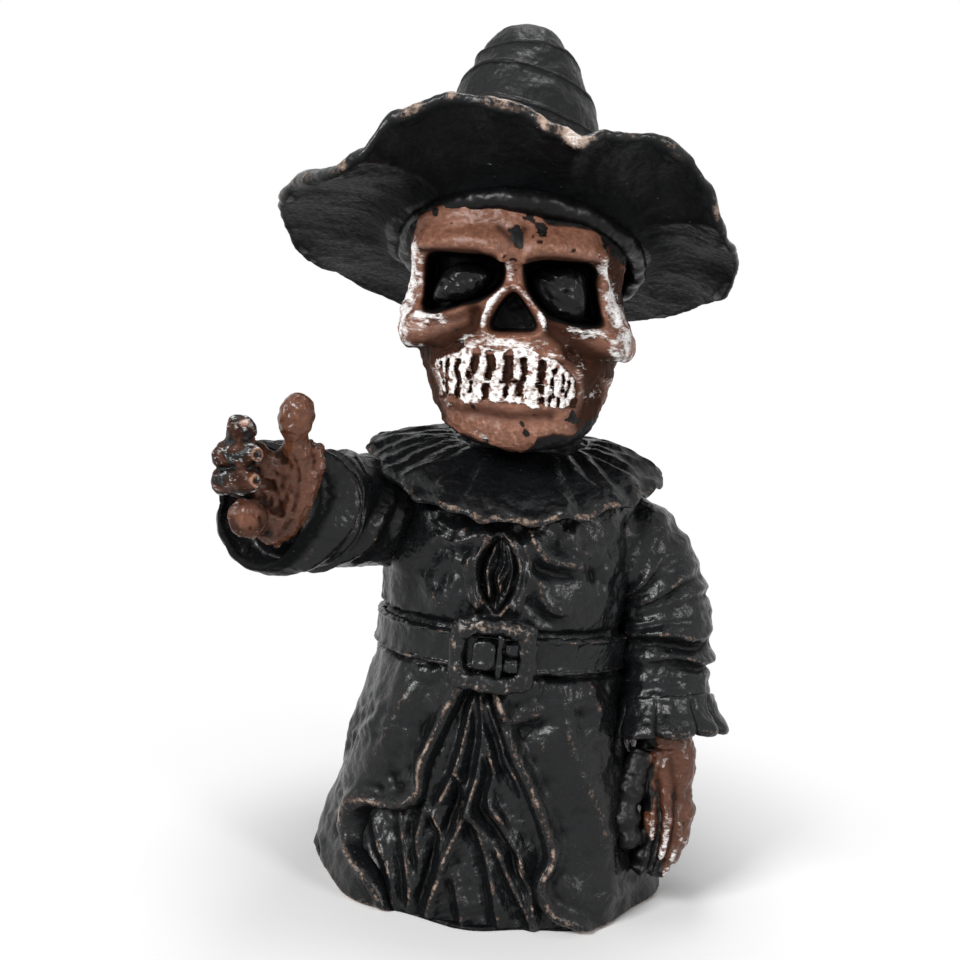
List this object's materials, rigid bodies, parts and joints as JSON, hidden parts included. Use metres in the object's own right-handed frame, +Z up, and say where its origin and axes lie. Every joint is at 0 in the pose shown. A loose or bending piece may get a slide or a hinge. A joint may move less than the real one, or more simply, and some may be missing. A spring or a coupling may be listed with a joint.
{
  "type": "halloween skeleton figurine",
  "caption": "Standing skeleton figurine in a wide waved hat, ruff collar and belted coat, one hand reaching forward, in painted cast resin.",
  "frame": {"origin": "On the flat underside, below the middle of the body, at the level of the table.", "axes": "+Z up; the figure faces -Y; +X is the viewer's right when looking at its face."},
  "size_m": [0.1308, 0.1287, 0.2286],
  "materials": {
    "black_paint": "semi-gloss black brush paint over cast resin, copper dry-brush on raised edges",
    "dark_paint": "semi-gloss black brush paint over cast resin",
    "copper_paint": "copper brown brush paint with dark wear and white dry-brush",
    "white_paint": "white dry-brush over copper brown",
    "gloss_black": "thick gloss black",
    "bronze_paint": "black paint rubbed through to bronze on the edges"
  },
  "bodies": {
    "root": {"coat_body": "black_paint", "underskirt": "dark_paint", "shirt_front": "dark_paint", "belt": "dark_paint", "belt_tip": "bronze_paint", "buckle_frame": "bronze_paint", "buckle_prong": "bronze_paint", "ruff_collar": "black_paint", "neck": "dark_paint", "skull": "copper_paint", "upper_teeth": "white_paint", "lower_teeth": "white_paint", "left_eye": "gloss_black", "right_eye": "gloss_black", "hat_band": "gloss_black", "hat": "black_paint", "right_sleeve": "black_paint", "right_cuff": "black_paint", "right_hand": "copper_paint", "left_sleeve": "black_paint", "left_cuff": "black_paint", "left_hand": "copper_paint"}
  },
  "joints": []
}
